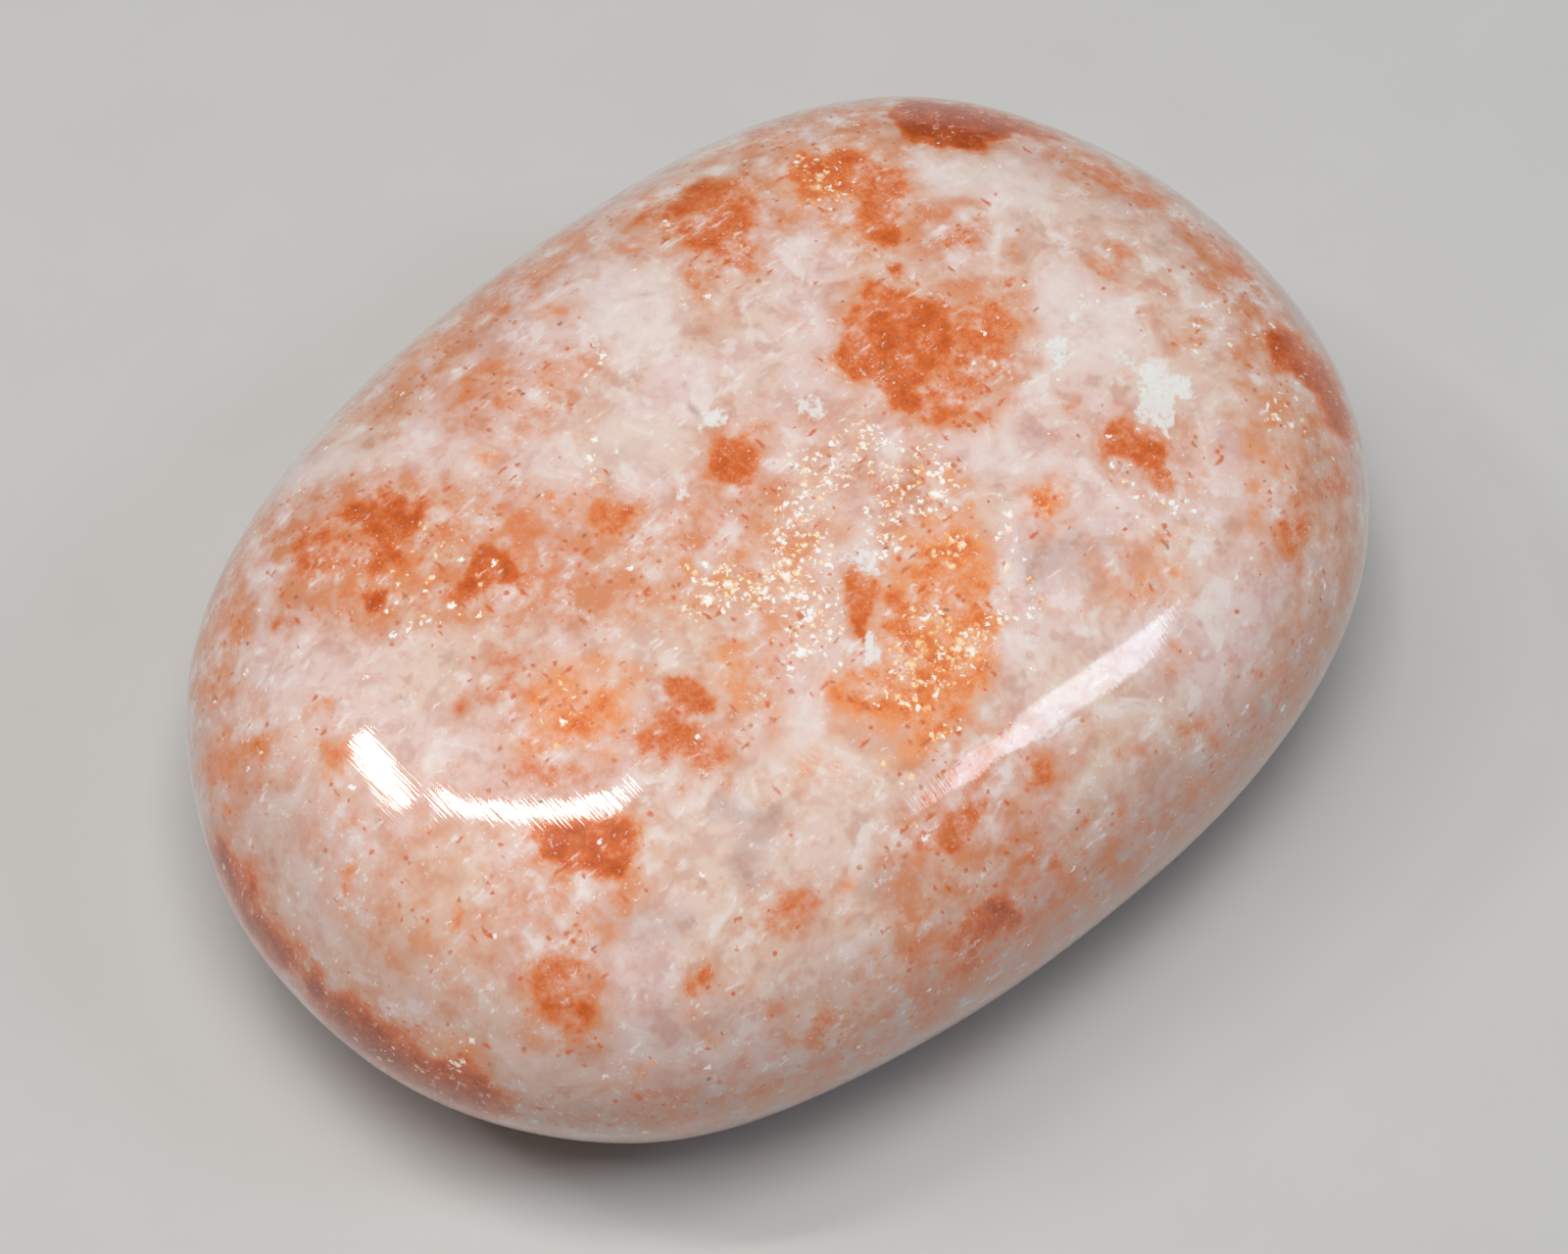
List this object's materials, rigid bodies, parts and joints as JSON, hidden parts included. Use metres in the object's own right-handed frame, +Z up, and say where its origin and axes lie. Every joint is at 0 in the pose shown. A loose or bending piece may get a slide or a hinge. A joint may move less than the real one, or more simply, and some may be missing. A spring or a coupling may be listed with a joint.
{
  "type": "sunstone palm stone",
  "caption": "Polished oval pebble of pale pink feldspar with rust-coloured glitter clouds, made to lie in the palm or on a shelf.",
  "frame": {"origin": "the middle of the underside of the box around the stone, on the flat that it lies on", "axes": "+X along the stone's length towards its broad end, +Z up through its thickness"},
  "size_m": [0.062, 0.0454, 0.0237],
  "materials": {
    "sunstone": "high polish, slightly translucent, with metallic glitter inside"
  },
  "bodies": {
    "root": {"sunstone": "sunstone"}
  },
  "joints": []
}
